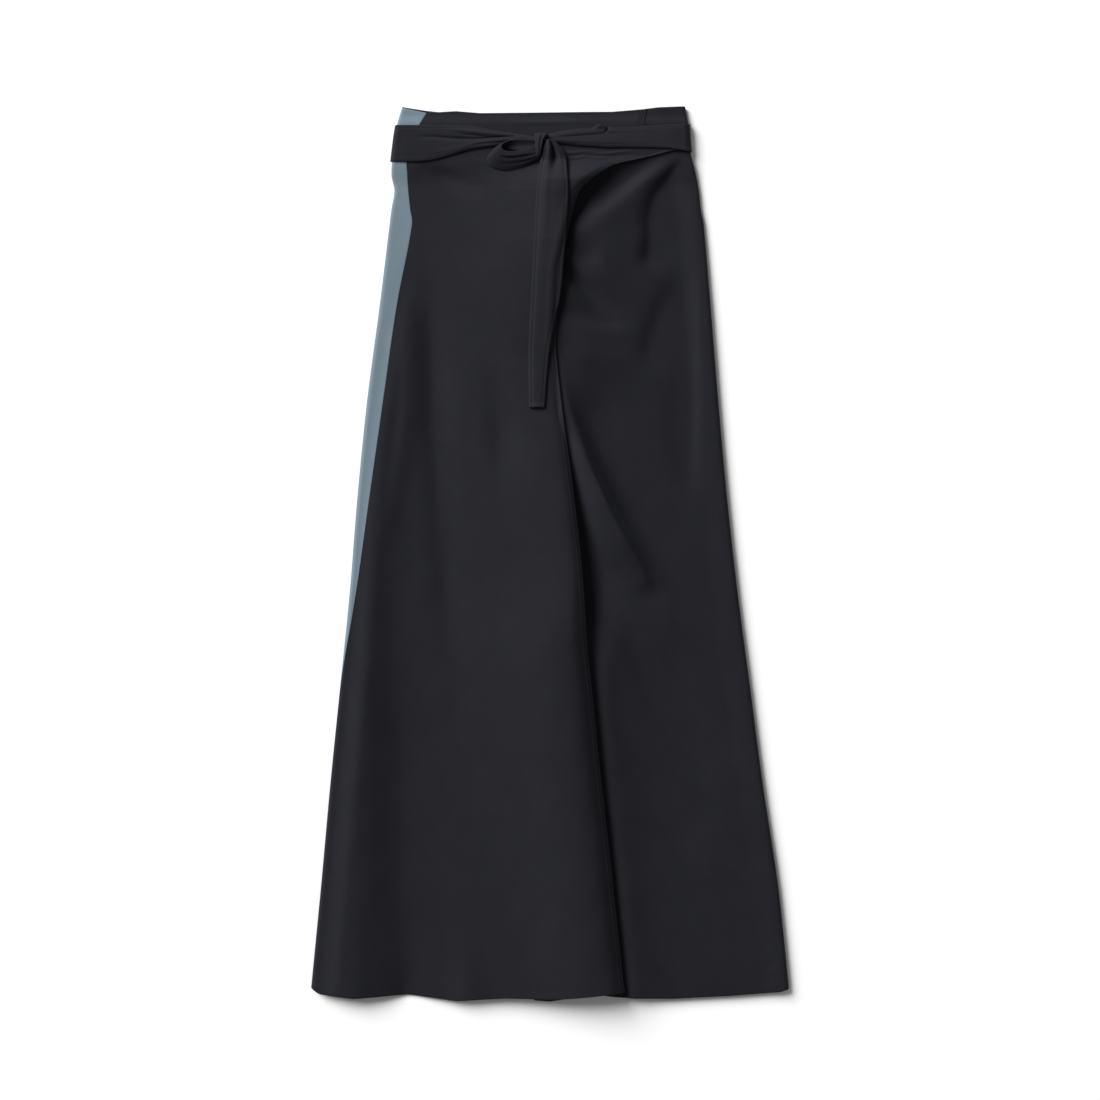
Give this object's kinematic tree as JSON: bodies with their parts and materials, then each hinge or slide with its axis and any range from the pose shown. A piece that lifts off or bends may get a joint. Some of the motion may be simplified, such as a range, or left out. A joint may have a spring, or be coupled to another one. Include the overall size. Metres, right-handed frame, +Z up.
{
  "type": "wrap skirt",
  "caption": "Long dark wrap skirt with a light blue back panel and its own tie belt in a half bow, laid flat.",
  "frame": {"origin": "on the surface that the skirt lies on, under the middle of its outline", "axes": "+Y along the skirt's length towards the waist, +X across it to the wearer's left side as seen from the front, +Z up out of the surface towards the viewer"},
  "size_m": [0.493, 0.9217, 0.0247],
  "materials": {
    "dark_cloth": "matte satin weave, near black navy",
    "blue_cloth": "plain weave, greyed light blue"
  },
  "bodies": {
    "root": {"back_panel": "blue_cloth", "back_facing": "dark_cloth", "under_front": "dark_cloth", "over_front": "dark_cloth", "tie_back": "dark_cloth", "tie_left_wing": "dark_cloth", "tie_right_wing": "dark_cloth", "tie_knot": "dark_cloth", "tie_loop": "dark_cloth", "tie_tail": "dark_cloth"}
  },
  "joints": []
}
